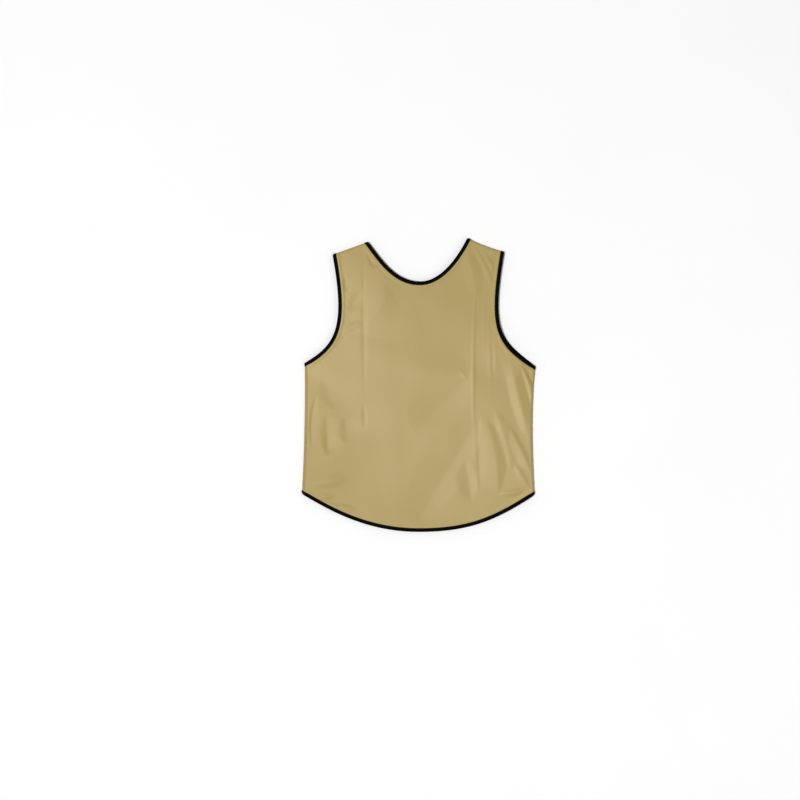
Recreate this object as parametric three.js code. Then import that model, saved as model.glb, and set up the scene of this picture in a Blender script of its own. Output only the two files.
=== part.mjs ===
// A sleeveless training bib lying flat on its back panel. A front and a back panel of thin cloth meet
// along soft folds at the sides and the shoulders, and a folded tape binds the neck, each armhole and
// the curved hem. Millimetres: X runs across the bib, Y from the hem to the neck, Z up from the floor.
import * as THREE from "three";
import { mergeVertices } from "three/addons/utils/BufferGeometryUtils.js";

// Thickness of the cloth and the tape, and the gaps that the pieces keep
const CLOTH_THICKNESS = 1;
const TAPE_THICKNESS = 1;
const TAPE_WIDTH = 9;
const TAPE_CLEARANCE = 0.5;
const PANEL_GAP = 0.3;

// Heights of the middle of the cloth above the floor
const BACK_HEIGHT = CLOTH_THICKNESS / 2;
const BACK_EDGE_HEIGHT = TAPE_THICKNESS + TAPE_CLEARANCE + CLOTH_THICKNESS / 2;
const FRONT_EDGE_HEIGHT = 10;
const FRONT_CROWN = 4.5;
const SEAM_HEIGHT = 7;

// The round that the cloth makes where it turns over at a side or a shoulder, seen from above
const FOLD_RADIUS = 4.6;

// The crown is full in the middle, falls to nothing at the sides and to this share at hem and neck
const HALF_CHEST = 283;
const HALF_LENGTH = 356;
const CROWN_AT_ENDS = 0.6;

// Raw edges of the cloth seen from above. Each side of the bib has one row: its four corners, and the
// two x values that bow the side seam between the hem and the armpit.
const CORNERS = {
  left: { hem: [-283, -263], armpit: [-276, 51], tip: [-207, 315], neck: [-124, 345], bow: [-277, -275] },
  right: { hem: [280, -266], armpit: [282, 43], tip: [206, 321], neck: [119, 354], bow: [274, 271] },
};
const NECK_LOWEST = [3, 248];
const HEM_LOWEST = [0, -355];
const CHEST_MIDDLE = 47;

// Handles of the curved edges, each measured from the end of the edge that it bends
const FRONT_HANDLES = {
  left: {
    armpit: [78, 44],
    tip: [32, -176],
    neckLowest: [-66, 0],
    neck: [26, -30],
    hem: [50, -28],
    hemLowest: [-138, 0],
  },
  right: {
    armpit: [-83, 56],
    tip: [-34, -198],
    neckLowest: [47, 0],
    neck: [-28, -56],
    hem: [-95, -62],
    hemLowest: [122, 0],
  },
};
// The back's right armhole is cut a little higher, so that its tape shows past the front's
const BACK_HANDLES = {
  left: FRONT_HANDLES.left,
  right: { ...FRONT_HANDLES.right, armpit: [-75, 62], tip: [-40, -202] },
};
const HANDLES = { front: FRONT_HANDLES, back: BACK_HANDLES };

// Folds of the front: a ridge, or a groove where rise is negative, runs from one point to the other and
// dies away over its reach.
const FOLDS = [
  { name: "right side band", from: [222, 38], to: [262, -122], reach: 12, rise: 3.5 },
  { name: "right side groove", from: [240, 30], to: [270, -108], reach: 9, rise: -3 },
  { name: "right waist ridge", from: [148, -86], to: [208, -160], reach: 16, rise: 2.5 },
  { name: "right waist groove", from: [182, -125], to: [206, -236], reach: 14, rise: -3 },
  { name: "right hip ridge", from: [236, -150], to: [262, -232], reach: 13, rise: 2.5 },
  { name: "right strap ridge", from: [122, 318], to: [182, 262], reach: 11, rise: 3 },
  { name: "right strap groove", from: [134, 300], to: [168, 256], reach: 9, rise: -2 },
  { name: "right neck wedge", from: [114, 296], to: [140, 226], reach: 13, rise: 2 },
  { name: "right press crease", from: [142, 220], to: [140, -232], reach: 9, rise: 1.5 },
  { name: "left press crease", from: [-130, 290], to: [-128, -110], reach: 12, rise: 0.8 },
  { name: "left side groove", from: [-226, -75], to: [-226, -172], reach: 13, rise: -3 },
  { name: "left waist groove", from: [-186, -86], to: [-184, -138], reach: 14, rise: -2 },
  { name: "left hip ridge", from: [-256, -250], to: [-176, -236], reach: 14, rise: 3 },
  { name: "left hem groove", from: [-236, -272], to: [-178, -278], reach: 12, rise: -2 },
  { name: "upper belly hollow", from: [124, 18], to: [0, -104], reach: 38, rise: -2 },
  { name: "lower belly hollow", from: [146, -84], to: [10, -308], reach: 34, rise: -2 },
];
const FOLD_SHARE_AT_TAPE = 0.25;
const FOLD_RUN_IN = 22;

// How finely each panel is divided: columns on each half, then rows up to the armpit, the bottom of the
// neck and the shoulder. Columns crowd towards the seam by the power.
const FOLD_STEPS = 3;
const EDGE_STRIP = 13;
const COLUMN_POWER = 1.3;
const GRIDS = {
  front: { left: 10, right: 15, body: 14, chest: 5, strap: 8 },
  back: { left: 5, right: 5, body: 5, chest: 5, strap: 8 },
};

// Where a tape has passed a fold, it turns square to its edge over this length
const TAPE_TURN = 16;

const SIDES = ["left", "right"];
const PANELS = { front: 1, back: -1 };

const clamp = (value) => Math.min(1, Math.max(0, value));
const mix = (a, b, share) => a + (b - a) * share;

function smooth(value) {
  const share = clamp(value);
  return share * share * (3 - 2 * share);
}

// Shares from 0 to 1 in equal steps, without the first
function shares(count) {
  return Array.from({ length: count }, (_, i) => (i + 1) / count);
}

// Distances from a fold at which the cloth has made equal parts of its quarter turn
const TURN_DISTANCES = shares(FOLD_STEPS).map((share) => FOLD_RADIUS * (1 - Math.cos((share * Math.PI) / 2)));

// An edge bent by a handle at each end
function bentEdge(start, startHandle, end, endHandle) {
  const a = new THREE.Vector2(...start);
  const b = new THREE.Vector2(...end);
  const nearA = a.clone().add(new THREE.Vector2(...startHandle));
  const nearB = b.clone().add(new THREE.Vector2(...endHandle));
  return new THREE.CubicBezierCurve(a, nearA, nearB, b);
}

function edgesOf(panel, side) {
  const corner = CORNERS[side];
  const handle = HANDLES[panel][side];
  return {
    hem: bentEdge(corner.hem, handle.hem, HEM_LOWEST, handle.hemLowest),
    armhole: bentEdge(corner.armpit, handle.armpit, corner.tip, handle.tip),
    neck: bentEdge(NECK_LOWEST, handle.neckLowest, corner.neck, handle.neck),
  };
}

const EDGES = {};
for (const panel of Object.keys(PANELS)) {
  EDGES[panel] = { left: edgesOf(panel, "left"), right: edgesOf(panel, "right") };
}

// The place along an edge where a measure of its points, which rises along it, reaches a value
const HALVINGS = 40;

function shareWhere(edge, measure, value) {
  let low = 0;
  let high = 1;
  for (let step = 0; step < HALVINGS; step++) {
    const middle = (low + high) / 2;
    if (measure(edge.getPoint(middle)) < value) low = middle;
    else high = middle;
  }
  return (low + high) / 2;
}

// The side seam at a height y: its x and its slope, on a cubic from the hem corner to the armpit that
// runs on straight past both
function sideSeam(side, y) {
  const { hem, armpit, bow } = CORNERS[side];
  const height = armpit[1] - hem[1];
  const t = clamp((y - hem[1]) / height);
  const s = 1 - t;
  const x = s ** 3 * hem[0] + 3 * s * s * t * bow[0] + 3 * s * t * t * bow[1] + t ** 3 * armpit[0];
  const bend = s * s * (bow[0] - hem[0]) + 2 * s * t * (bow[1] - bow[0]) + t * t * (armpit[0] - bow[1]);
  const slope = (3 * bend) / height;
  return { x: x + slope * (y - mix(hem[1], armpit[1], t)), slope };
}

// Distance of a point from the side fold, and the way in from it
function sideFold(side, x, y) {
  const way = side === "left" ? 1 : -1;
  const seam = sideSeam(side, y);
  return { distance: way * (x - seam.x), inward: new THREE.Vector2(way, -way * seam.slope) };
}

// Distance of a point from the straight shoulder fold, and the way in from it
function shoulderFold(side, x, y) {
  const tip = new THREE.Vector2(...CORNERS[side].tip);
  const along = new THREE.Vector2(...CORNERS[side].neck).sub(tip).normalize();
  const way = side === "left" ? 1 : -1;
  const inward = new THREE.Vector2(way * along.y, -way * along.x);
  return { distance: new THREE.Vector2(x, y).sub(tip).dot(inward), inward };
}

function nearestFold(x, y) {
  const folds = SIDES.flatMap((side) => [sideFold(side, x, y), shoulderFold(side, x, y)]);
  return folds.reduce((nearest, fold) => (fold.distance < nearest.distance ? fold : nearest));
}

// Distance of a point from the nearest bound edge of a panel
const EDGE_SAMPLES = 90;
const BOUND_POINTS = {};
for (const panel of Object.keys(PANELS)) {
  const edges = SIDES.flatMap((side) => Object.values(EDGES[panel][side]));
  BOUND_POINTS[panel] = edges.flatMap((edge) => edge.getPoints(EDGE_SAMPLES));
}

function boundDistance(panel, x, y) {
  let nearest = Infinity;
  for (const point of BOUND_POINTS[panel]) {
    nearest = Math.min(nearest, (point.x - x) ** 2 + (point.y - y) ** 2);
  }
  return Math.sqrt(nearest);
}

function foldRise(fold, x, y) {
  const [startX, startY] = fold.from;
  const alongX = fold.to[0] - startX;
  const alongY = fold.to[1] - startY;
  const share = clamp(((x - startX) * alongX + (y - startY) * alongY) / (alongX ** 2 + alongY ** 2));
  const away = Math.hypot(x - startX - share * alongX, y - startY - share * alongY);
  return fold.rise * Math.exp(-((away / fold.reach) ** 2));
}

// How far a panel's middle surface stands from the seam's height, away from the folds
function standOff(panel, x, y) {
  const bound = boundDistance(panel, x, y);
  if (panel === "back") {
    const lift = 1 - smooth((bound - EDGE_STRIP) / (2 * EDGE_STRIP));
    return SEAM_HEIGHT - mix(BACK_HEIGHT, BACK_EDGE_HEIGHT, lift);
  }
  const across = 1 - clamp(Math.abs(x) / HALF_CHEST) ** 2;
  const along = 1 - (1 - CROWN_AT_ENDS) * (y / HALF_LENGTH) ** 2;
  const wrinkles = FOLDS.reduce((sum, fold) => sum + foldRise(fold, x, y), 0);
  const kept = mix(FOLD_SHARE_AT_TAPE, 1, smooth((bound - TAPE_WIDTH) / FOLD_RUN_IN));
  return FRONT_EDGE_HEIGHT + FRONT_CROWN * across * along + wrinkles * kept - SEAM_HEIGHT;
}

// The middle of a panel's cloth over a point of the plan, its outward normal, and how far it has turned
// over: the cloth follows a quarter of an ellipse from the seam to its full stand-off.
function surface(panel, x, y) {
  const up = PANELS[panel];
  const { distance, inward } = nearestFold(x, y);
  const cos = 1 - clamp(distance / FOLD_RADIUS);
  const sin = Math.sqrt(1 - cos * cos);
  const step = 0.5;
  const rise = standOff(panel, x, y);
  const slopeX = (standOff(panel, x + step, y) - standOff(panel, x - step, y)) / (2 * step);
  const slopeY = (standOff(panel, x, y + step) - standOff(panel, x, y - step)) / (2 * step);
  const normal = new THREE.Vector3(
    -(FOLD_RADIUS * sin * sin * slopeX + rise * cos * inward.x),
    -(FOLD_RADIUS * sin * sin * slopeY + rise * cos * inward.y),
    up * FOLD_RADIUS * sin,
  );
  const position = new THREE.Vector3(x, y, SEAM_HEIGHT + up * rise * sin);
  return { position, normal: normal.normalize(), sin };
}

// A point of a bound edge, with the way into the cloth: along the fold while the edge goes round it,
// and square to the edge further on
function station(panel, edge, share) {
  const point = edge.getPoint(share);
  const tangent = edge.getTangent(share);
  const facing = (direction, reference) => direction.multiplyScalar(Math.sign(direction.dot(reference)) || 1);
  const square = facing(new THREE.Vector2(-tangent.y, tangent.x), point.clone().negate());
  const fold = nearestFold(point.x, point.y);
  const along = facing(new THREE.Vector2(-fold.inward.y, fold.inward.x).normalize(), square);
  const inward = along.lerp(square, smooth((fold.distance - FOLD_RADIUS) / TAPE_TURN)).normalize();
  return { panel, point, inward };
}

// Shares along one row of columns: the turn at the seam, a strip beside it, the crowded middle columns
// and a strip beside the inner end. Each entry gives a distance from one end or a share of the middle.
function columnPlaces(count) {
  const outer = [0, ...TURN_DISTANCES, EDGE_STRIP].map((distance) => ({ distance }));
  const middle = shares(count).map((share) => ({ share: share ** COLUMN_POWER }));
  return [...outer, ...middle, { distance: 0, fromInner: true }];
}

function placeOnRow(place, length) {
  if (place.fromInner) return 1;
  if (place.share === undefined) return place.distance / length;
  return (EDGE_STRIP + place.share * (length - 2 * EDGE_STRIP)) / length;
}

// One half of a panel in plan: rows of points from the seam or armhole to the centre or neck, the
// stations of its bound edges, and the row at the bottom of the neck
function halfPanel(panel, side) {
  const grid = GRIDS[panel];
  const { hem, armhole, neck } = EDGES[panel][side];
  const corner = CORNERS[side];
  const columns = columnPlaces(grid[side]);
  const fromSide = (point) => sideFold(side, point.x, point.y).distance;
  const belowShoulder = (point) => -shoulderFold(side, point.x, point.y).distance;

  const halfWidth = fromSide(new THREE.Vector2(...HEM_LOWEST));
  const hemDistances = columns.map((place) => placeOnRow(place, halfWidth) * halfWidth);
  const hemShares = hemDistances.map((distance) => shareWhere(hem, fromSide, distance));
  hemShares[0] = 0;
  hemShares[hemShares.length - 1] = 1;
  const hemPoints = hemShares.map((share) => hem.getPoint(share));
  const stripRow = EDGE_STRIP / (CHEST_MIDDLE - HEM_LOWEST[1]);
  const bodyShares = [0, ...[0, ...shares(grid.body)].map((share) => mix(stripRow, 1, share))];
  const centreLength = NECK_LOWEST[1] - HEM_LOWEST[1];
  const centreX = (y) => mix(HEM_LOWEST[0], NECK_LOWEST[0], (y - HEM_LOWEST[1]) / centreLength);

  // Body rows run from the hem's own curve to the straight chest line
  const rows = bodyShares.map((rowShare) =>
    columns.map((place, column) => {
      const low = hemPoints[column];
      const chestShare = placeOnRow(place, Math.abs(corner.armpit[0]));
      const y = mix(low.y, mix(corner.armpit[1], CHEST_MIDDLE, chestShare), rowShare);
      const seam = sideSeam(side, y).x;
      const width = Math.abs(centreX(y) - seam);
      const x = rowShare === 0 ? low.x : mix(seam, centreX(y), placeOnRow(place, width));
      return new THREE.Vector2(x, y);
    }),
  );

  // Upper rows are straight from the armhole to the centre line or the neck
  const cornerShares = TURN_DISTANCES.map((distance) => shareWhere(armhole, fromSide, distance));
  const topShares = (edge) =>
    [...TURN_DISTANCES].reverse().map((distance) => shareWhere(edge, belowShoulder, -distance));
  const armholeTop = topShares(armhole);
  const neckTop = topShares(neck);
  const cornerEnd = cornerShares[FOLD_STEPS - 1];
  const neckRow = mix(cornerEnd, armholeTop[0], grid.chest / (grid.chest + grid.strap));
  const chestShares = shares(grid.chest).map((share) => mix(cornerEnd, neckRow, share));
  const strapShares = shares(grid.strap).map((share) => mix(neckRow, armholeTop[0], share));
  const armholeShares = [...cornerShares, ...chestShares, ...strapShares, ...armholeTop.slice(1), 1];
  const centreRows = FOLD_STEPS + grid.chest;
  const centrePoints = shares(centreRows).map((share) => {
    const y = mix(CHEST_MIDDLE, NECK_LOWEST[1], share);
    return new THREE.Vector2(centreX(y), y);
  });
  const neckShares = [0, ...shares(grid.strap).map((share) => share * neckTop[0]), ...neckTop.slice(1), 1];
  const innerPoints = [...centrePoints, ...neckShares.slice(1).map((share) => neck.getPoint(share))];
  armholeShares.forEach((share, row) => {
    const outer = armhole.getPoint(share);
    const inner = innerPoints[row];
    const length = outer.distanceTo(inner);
    rows.push(columns.map((place) => outer.clone().lerp(inner, placeOnRow(place, length))));
  });

  return {
    rows,
    neckRow: bodyShares.length + centreRows - 1,
    stations: {
      hem: hemShares.map((share) => station(panel, hem, share)),
      armhole: [0, ...armholeShares].map((share) => station(panel, armhole, share)),
      neck: neckShares.map((share) => station(panel, neck, share)),
    },
  };
}

const HALVES = {};
for (const panel of Object.keys(PANELS)) {
  HALVES[panel] = { left: halfPanel(panel, "left"), right: halfPanel(panel, "right") };
}

function closedMesh(name, points, triangles, material) {
  const geometry = new THREE.BufferGeometry();
  geometry.setAttribute("position", new THREE.Float32BufferAttribute(points.flatMap((p) => p.toArray()), 3));
  geometry.setIndex(triangles.flat());
  const merged = mergeVertices(geometry, 1e-4);
  merged.computeVertexNormals();
  const mesh = new THREE.Mesh(merged, material);
  mesh.name = name;
  return mesh;
}

const quad = (a, b, c, d) => [
  [a, b, c],
  [a, c, d],
];
const turned = (triangle) => [triangle[0], triangle[2], triangle[1]];

// A panel: both halves as an outer and an inner skin half a cloth from the middle surface, closed by a
// rim along the hem, the seam and armhole, the shoulder and the neck
function panelMesh(panel, material) {
  const points = [];
  const triangles = [];
  for (const side of SIDES) {
    const { rows, neckRow } = HALVES[panel][side];
    const lastRow = rows.length - 1;
    const lastColumn = rows[0].length - 1;
    const start = points.length;
    for (const row of rows) {
      for (const place of row) {
        const { position, normal, sin } = surface(panel, place.x, place.y);
        position.z += (PANELS[panel] * PANEL_GAP * (1 - sin)) / 2;
        points.push(position.clone().addScaledVector(normal, CLOTH_THICKNESS / 2));
        points.push(position.clone().addScaledVector(normal, -CLOTH_THICKNESS / 2));
      }
    }
    const outer = (row, column) => start + 2 * (row * (lastColumn + 1) + column);
    const inner = (row, column) => outer(row, column) + 1;
    const made = [];
    for (let row = 0; row < lastRow; row++) {
      for (let column = 0; column < lastColumn; column++) {
        const cell = [
          [row, column],
          [row, column + 1],
          [row + 1, column + 1],
          [row + 1, column],
        ];
        made.push(...quad(...cell.map((at) => outer(...at))));
        made.push(...quad(...cell.map((at) => inner(...at)).reverse()));
      }
    }
    const rim = [];
    for (let column = lastColumn; column > 0; column--) rim.push([0, column]);
    for (let row = 0; row < lastRow; row++) rim.push([row, 0]);
    for (let column = 0; column < lastColumn; column++) rim.push([lastRow, column]);
    for (let row = lastRow; row >= neckRow; row--) rim.push([row, lastColumn]);
    rim.slice(1).forEach((at, i) => {
      const before = rim[i];
      made.push(...quad(outer(...before), outer(...at), inner(...at), inner(...before)));
    });
    const facesOut = (side === "left") === (panel === "front");
    triangles.push(...(facesOut ? made : made.map(turned)));
  }
  return closedMesh(`${panel}_panel`, points, triangles, material);
}

// The folded tape's section: inward is measured from the raw edge of the cloth, out along its normal.
// Its outer edge is rounded through a point at these shares of the overhang and of the half thickness.
const ROUND_INWARD = 0.75;
const ROUND_OUT = 0.65;
const TAPE_EDGE = TAPE_THICKNESS + TAPE_CLEARANCE;
const TAPE_INNER = TAPE_WIDTH - TAPE_EDGE;
const SLOT = CLOTH_THICKNESS / 2 + TAPE_CLEARANCE;
const TAPE_OUT = SLOT + TAPE_THICKNESS;
const TAPE_SECTION = [
  { inward: TAPE_INNER, out: TAPE_OUT },
  { inward: 0, out: TAPE_OUT },
  { inward: -ROUND_INWARD * TAPE_EDGE, out: ROUND_OUT * TAPE_OUT },
  { inward: -TAPE_EDGE, out: 0 },
  { inward: -ROUND_INWARD * TAPE_EDGE, out: -ROUND_OUT * TAPE_OUT },
  { inward: 0, out: -TAPE_OUT },
  { inward: TAPE_INNER, out: -TAPE_OUT },
  { inward: TAPE_INNER, out: -SLOT },
  { inward: -TAPE_CLEARANCE, out: -SLOT },
  { inward: -TAPE_CLEARANCE, out: SLOT },
  { inward: TAPE_INNER, out: SLOT },
];

// A binding: the tape's section carried round a closed loop of stations, following the cloth
function bindingMesh(name, loop, clockwise, material) {
  const points = loop.flatMap(({ panel, point, inward }) =>
    TAPE_SECTION.map((corner) => {
      const place = point.clone().addScaledVector(inward, corner.inward);
      const { position, normal } = surface(panel, place.x, place.y);
      return position.addScaledVector(normal, corner.out);
    }),
  );
  const around = TAPE_SECTION.length;
  const at = (section, corner) => (section % loop.length) * around + (corner % around);
  const triangles = [];
  for (let section = 0; section < loop.length; section++) {
    for (let corner = 0; corner < around; corner++) {
      const next = section + 1;
      const side = corner + 1;
      triangles.push(...quad(at(section, corner), at(section, side), at(next, side), at(next, corner)));
    }
  }
  return closedMesh(name, points, clockwise ? triangles.map(turned) : triangles, material);
}

// A run of stations across both halves of a panel, from the left seam to the right
function acrossPanel(panel, edge, seamFirst) {
  const left = HALVES[panel].left.stations[edge];
  const right = HALVES[panel].right.stations[edge];
  return seamFirst
    ? [...left, ...[...right].reverse().slice(1)]
    : [...[...left].reverse(), ...right.slice(1)];
}

// The front's stations, then the back's on the way home, without the two seam points that they share
function roundTrip(frontRun, backRun) {
  return [...frontRun, ...[...backRun].reverse().slice(1, -1)];
}

const goldSatin = new THREE.MeshStandardMaterial({ color: 0xbaa672, roughness: 0.55, metalness: 0 });
const blackTape = new THREE.MeshStandardMaterial({ color: 0x121113, roughness: 0.8, metalness: 0 });

const armholeLoop = (side) =>
  roundTrip(HALVES.front[side].stations.armhole, HALVES.back[side].stations.armhole);

const bib = new THREE.Group();
bib.add(panelMesh("front", goldSatin));
bib.add(panelMesh("back", goldSatin));
bib.add(
  bindingMesh(
    "neck_binding",
    roundTrip(acrossPanel("front", "neck", false), acrossPanel("back", "neck", false)),
    true,
    blackTape,
  ),
);
bib.add(bindingMesh("armhole_binding_left", armholeLoop("left"), true, blackTape));
bib.add(bindingMesh("armhole_binding_right", armholeLoop("right"), false, blackTape));
bib.add(
  bindingMesh(
    "hem_binding",
    roundTrip(acrossPanel("front", "hem", true), acrossPanel("back", "hem", true)),
    false,
    blackTape,
  ),
);

export default bib;
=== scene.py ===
"""A sleeveless training bib of gold satin polyester lying flat on its back, seen from straight above.

Two cloth panels meet in soft folds at the sides and the shoulders. Black folded tape, sewn down with one
row of stitches, binds the neck, each armhole and the curved hem. Lengths are millimetres until a mesh is
made: X runs across the bib, Y from the hem to the neck, Z up from the floor.
"""

from collections import namedtuple

import bpy
import numpy as np
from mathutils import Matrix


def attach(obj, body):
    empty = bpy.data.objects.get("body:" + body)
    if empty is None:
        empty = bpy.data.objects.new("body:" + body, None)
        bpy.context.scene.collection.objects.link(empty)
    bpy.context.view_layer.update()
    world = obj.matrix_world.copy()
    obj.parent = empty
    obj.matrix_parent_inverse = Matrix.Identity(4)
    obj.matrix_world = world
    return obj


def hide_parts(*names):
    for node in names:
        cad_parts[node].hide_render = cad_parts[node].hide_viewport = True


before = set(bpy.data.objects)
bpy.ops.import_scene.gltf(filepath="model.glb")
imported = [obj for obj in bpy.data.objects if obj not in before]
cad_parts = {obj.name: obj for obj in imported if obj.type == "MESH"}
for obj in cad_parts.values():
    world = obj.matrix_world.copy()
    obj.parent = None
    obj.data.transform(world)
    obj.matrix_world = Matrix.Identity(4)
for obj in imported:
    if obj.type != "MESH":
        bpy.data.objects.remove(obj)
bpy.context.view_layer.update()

MM = 0.001

# Thickness of the cloth, half the height of the folded tape, the thickness of one layer of it, its width on
# the bib, how far its fold stands past the raw edge, and how far it is kept off the floor
CLOTH_THICKNESS = 0.6
TAPE_HALF = 1.3
TAPE_THICKNESS = 0.75
TAPE_WIDTH = 9.0
TAPE_FOLD = 1.5
TAPE_LIFT = 0.5

# Heights of the middle of the cloth above the floor
BACK_HEIGHT = 0.5
BACK_EDGE_HEIGHT = TAPE_HALF + TAPE_LIFT
FRONT_EDGE_HEIGHT = 10.0
FRONT_CROWN = 4.5
SEAM_HEIGHT = 7.0
LEFT_SEAM_HEIGHT = 2.0

# The seam is low in a strip down the left side. The strip ends this far in from the armpit's x and fades
# over this width, and below the armpit it sets in over this length.
LOW_SEAM_REACH = 80.0
LOW_SEAM_FADE = 60.0
LOW_SEAM_START = 70.0

# The round that the cloth makes where it turns over at a side or a shoulder, seen from above, and how far
# the sewn seam is drawn into it. The left side rolls over further, down to a lower seam. The power shapes
# the round: 2 makes a quarter of an ellipse, and 1 a straight slope.
FOLD_RADIUS = 4.6
FOLD_POWER = 2.0
LEFT_FOLD_RADIUS = 7.5
LEFT_FOLD_POWER = 1.15
SEAM_TUCK = 0.7
SEAM_TUCK_HEIGHT = 1.2

# Rounds of the bib's corners seen from above, how far each shoulder sags between its ends, and how far
# below the shoulder that reaches
CORNER_ROUNDS = {"tip": 3.0, "neck": 3.0, "hem": 6.4}
SHOULDER_SAG = {"left": 0.0, "right": 2.2}
SAG_REACH = 60.0

# The crown is full in the middle, and falls to these shares at hem and neck and at the sides of the lower
# body. Over the chest, it falls to nothing at the sides. The one changes to the other between the two
# heights at the end.
HALF_CHEST = 283.0
HALF_LENGTH = 356.0
CROWN_AT_ENDS = 0.6
CROWN_AT_SIDES = 0.65
FLAT_BELOW = -150.0
ROUND_ABOVE = 70.0

# Raw edges of the cloth seen from above: four corners a side, and the two x values that bow the side seam
CORNERS = {
    "left": {
        "hem": (-283, -263),
        "armpit": (-276, 51),
        "tip": (-207, 315),
        "neck": (-124, 345),
        "bow": (-277, -275),
    },
    "right": {
        "hem": (280, -266),
        "armpit": (282, 43),
        "tip": (206, 321),
        "neck": (119, 354),
        "bow": (274, 271),
    },
}
# The lowest points of the neck and the hem, and the height of the line across the chest at its middle
NECK_LOWEST = (3, 248)
HEM_LOWEST = (0, -355)
CHEST_MIDDLE = 47

# Handles of the curved edges, each measured from the end of the edge that it bends
FRONT_HANDLES = {
    "left": {
        "armpit": (78, 44),
        "tip": (32, -176),
        "neck_lowest": (-66, 0),
        "neck": (26, -30),
        "hem": (50, -28),
        "hem_lowest": (-138, 0),
    },
    "right": {
        "armpit": (-83, 56),
        "tip": (-34, -198),
        "neck_lowest": (47, 0),
        "neck": (-28, -56),
        "hem": (-95, -62),
        "hem_lowest": (122, 0),
    },
}
# The back's right armhole is cut a little higher, so that its tape shows past the front's
BACK_HANDLES = {
    "left": FRONT_HANDLES["left"],
    "right": {**FRONT_HANDLES["right"], "armpit": (-75, 62), "tip": (-40, -202)},
}
HANDLES = {"front": FRONT_HANDLES, "back": BACK_HANDLES}

# The two sides as they lie in the picture, and which way the outer face of each panel looks
SIDES = ("left", "right")
UP = {"front": 1, "back": -1}

# Folds of the front. Each runs from start to end, and its middle stands bow to the left of the straight
# way. Its crest rises by rise, or sinks where that is negative, and two straight flanks fall away from it
# over left and right. soft is the share of a flank that is rounded at its crest and foot.
Fold = namedtuple("Fold", "start end bow left right rise soft")
FOLDS = (
    # Pleats that fan out from the right armpit, and the deep hollow between them
    Fold((277, -70), (236, 72), -9, 7, 6, 1.2, 0.12),
    Fold((282, 4), (247, 58), -2, 6, 5, 1.2, 0.12),
    Fold((284, -36), (246, 60), -8, 6, 5, -2.8, 0.2),
    # The band down the right side, and the hollows on its left and right
    Fold((270, -136), (222, 58), 2, 20, 26, 1.3, 0.1),
    Fold((250, -124), (201, 56), 4, 40, 20, -1.3, 0.12),
    Fold((296, -120), (250, 52), 4, 27, 14, -1.5, 0.12),
    # Two ridges down the right waist
    Fold((224, -206), (184, -62), -6, 14, 24, 1.3, 0.15),
    Fold((191, -264), (162, -84), -10, 48, 21, 2.3, 0.12),
    # Zigzag of small folds at the right hip
    Fold((272, -212), (222, -106), 0, 18, 11, 1.7, 0.12),
    Fold((268, -252), (230, -190), 0, 9, 9, 1.0, 0.15),
    Fold((190, -266), (262, -258), 0, 10, 8, 1.6, 0.15),
    # Folds of the right strap, and a dent beside them
    Fold((181, 232), (132, 336), -6, 9, 5, 1.9, 0.1),
    Fold((192, 242), (148, 332), -7, 7, 5, 1.8, 0.1),
    Fold((186, 250), (180, 290), 0, 4, 4, -1.6, 0.2),
    Fold((143, 208), (115, 334), 0, 18, 24, 2.7, 0.1),
    # The right press crease down the front, and fine lines beside it
    Fold((134, -130), (138, 250), 4, 5, 5, 0.8, 0.2),
    Fold((148, -262), (142, -76), 0, 5, 18, -0.6, 0.2),
    Fold((160, 70), (158, 210), 0, 6, 6, 0.35, 0.3),
    Fold((176, -10), (171, 170), 2, 7, 5, 0.45, 0.25),
    Fold((188, 20), (184, 110), 0, 5, 6, 0.4, 0.25),
    # The left press crease
    Fold((-131, -40), (-133, 326), 1, 6, 8, -0.55, 0.2),
    Fold((-132, -110), (-132, -44), 0, 4, 7, -0.6, 0.2),
    # Broad hollows across the belly, and a dent below them
    Fold((-10, -114), (124, 18), 0, 80, 46, -2.1, 0.08),
    Fold((-10, -340), (150, -76), 0, 70, 42, -2.2, 0.08),
    Fold((127, -280), (114, -186), 0, 26, 20, -1.6, 0.12),
    # Dents of the left side
    Fold((-257, -152), (-248, -26), 7, 5, 14, -0.9, 0.2),
    Fold((-219, -174), (-223, -78), 0, 12, 38, -1.6, 0.3),
    Fold((-218, -172), (-221, -118), 0, 9, 24, -1.1, 0.3),
    Fold((-202, -60), (-231, 18), 0, 17, 56, -1.2, 0.4),
    Fold((-173, -144), (-177, -78), 0, 14, 38, -1.5, 0.3),
    # Small folds along the left of the hem
    Fold((-258, -244), (-172, -230), 1, 20, 12, 1.9, 0.2),
    Fold((-282, -282), (-200, -268), 0, 9, 6, 2.4, 0.2),
    Fold((-262, -298), (-148, -301), 2, 9, 18, 3.2, 0.15),
    Fold((-160, -322), (20, -336), -4, 40, 24, 1.4, 0.3),
    # Marks at the left of the neck and along the left armhole
    Fold((-104, 280), (-124, 316), 0, 6, 8, -1.6, 0.25),
    Fold((-92, 280), (-107, 312), 0, 5, 6, -2.0, 0.25),
    Fold((-177, 224), (-178, 260), 0, 6, 9, -1.8, 0.25),
    Fold((-168, 176), (-136, 232), 0, 10, 14, -0.9, 0.4),
    Fold((-192, 124), (-134, 152), 0, 11, 9, 0.9, 0.2),
    # A broad ridge from the left armhole up to the neck, and the crisper crest on it
    Fold((-152, 130), (-76, 262), -12, 46, 110, 2.0, 0.2),
    Fold((-134, 146), (-82, 242), -18, 34, 48, 1.2, 0.06),
    # A small pull beside the right press crease
    Fold((119, 6), (98, 40), 0, 4, 4, 0.45, 0.2),
)

# Folds keep this share of their height at the tape, and all of it this far in from there. At its tips, a
# fold has this share of its width.
FOLD_SHARE_AT_TAPE = 0.35
FOLD_RUN_IN = 16
FOLD_TIP_WIDTH = 0.2

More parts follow.
